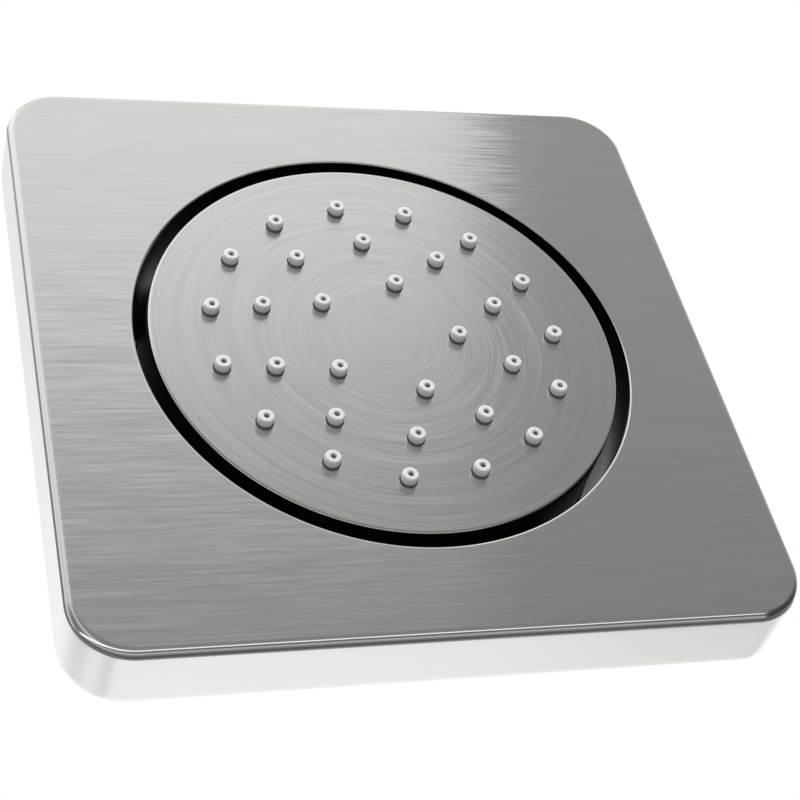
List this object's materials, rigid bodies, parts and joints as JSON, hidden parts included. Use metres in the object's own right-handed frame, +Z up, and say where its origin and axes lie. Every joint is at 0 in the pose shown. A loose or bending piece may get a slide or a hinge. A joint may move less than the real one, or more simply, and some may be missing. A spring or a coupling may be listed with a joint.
{
  "type": "shower body jet",
  "caption": "Square wall-mounted shower body jet with a round spray face that tilts on a ball joint behind a brushed plate.",
  "frame": {"origin": "on the jet's axis, in the wall plane that the plate's skirt and gasket press on", "axes": "+Y into the wall along the inlet, +Z up, +X to the right seen from the front; the spray leaves along -Y"},
  "size_m": [0.12, 0.0538, 0.12],
  "materials": {
    "trim_steel": "linear brushed stainless sheet",
    "face_steel": "circular brushed stainless sheet",
    "carrier_black": "black moulded plastic, semi-gloss",
    "shell_black": "black moulded plastic, glossy side",
    "backing_black": "black moulded plastic",
    "nozzle_silicone": "white translucent silicone",
    "seal_rubber": "black moulded rubber",
    "gasket_foam": "closed-cell foam strip",
    "seat_white": "machined bearing plastic",
    "regulator_plastic": "moulded acetal",
    "strainer_steel": "pressed stainless screen",
    "body_brass": "turned brass",
    "ball_chrome": "polished plated brass",
    "fastener_steel": "zinc plated steel"
  },
  "bodies": {
    "base": {"trim_plate": "trim_steel", "carrier": "carrier_black", "trim_studs": "fastener_steel", "trim_nuts": "fastener_steel", "wall_gasket": "gasket_foam", "inlet_body": "body_brass", "lock_nut": "body_brass", "slip_washer": "seat_white", "hub_washer": "seal_rubber", "ball_stem": "ball_chrome", "stem_o_ring": "seal_rubber", "flow_regulator": "regulator_plastic", "flow_ring": "seal_rubber", "inlet_strainer": "strainer_steel"},
    "seal": {"ball_seal": "seal_rubber"},
    "seat": {"seat_ring": "seat_white"},
    "head": {"socket_nut": "body_brass", "back_shell": "shell_black", "chamber_seal": "seal_rubber", "backing_plate": "backing_black", "nozzle_mat": "nozzle_silicone", "spray_face": "face_steel", "face_studs": "fastener_steel", "face_nuts": "fastener_steel"}
  },
  "joints": [
    {"name": "tilt_vertical", "type": "hinge", "parent": "base", "child": "seal", "pos_m": [0, 0.0017, 0], "axis": [1, 0, 0], "range_deg": [-10, 10]},
    {"name": "tilt_sideways", "type": "hinge", "parent": "seal", "child": "seat", "pos_m": [0, 0.0017, 0], "axis": [0, 0, 1], "range_deg": [-10, 10]},
    {"name": "spin", "type": "hinge", "parent": "seat", "child": "head", "pos_m": [0, 0.0017, 0], "axis": [0, 1, 0], "continuous": true}
  ]
}
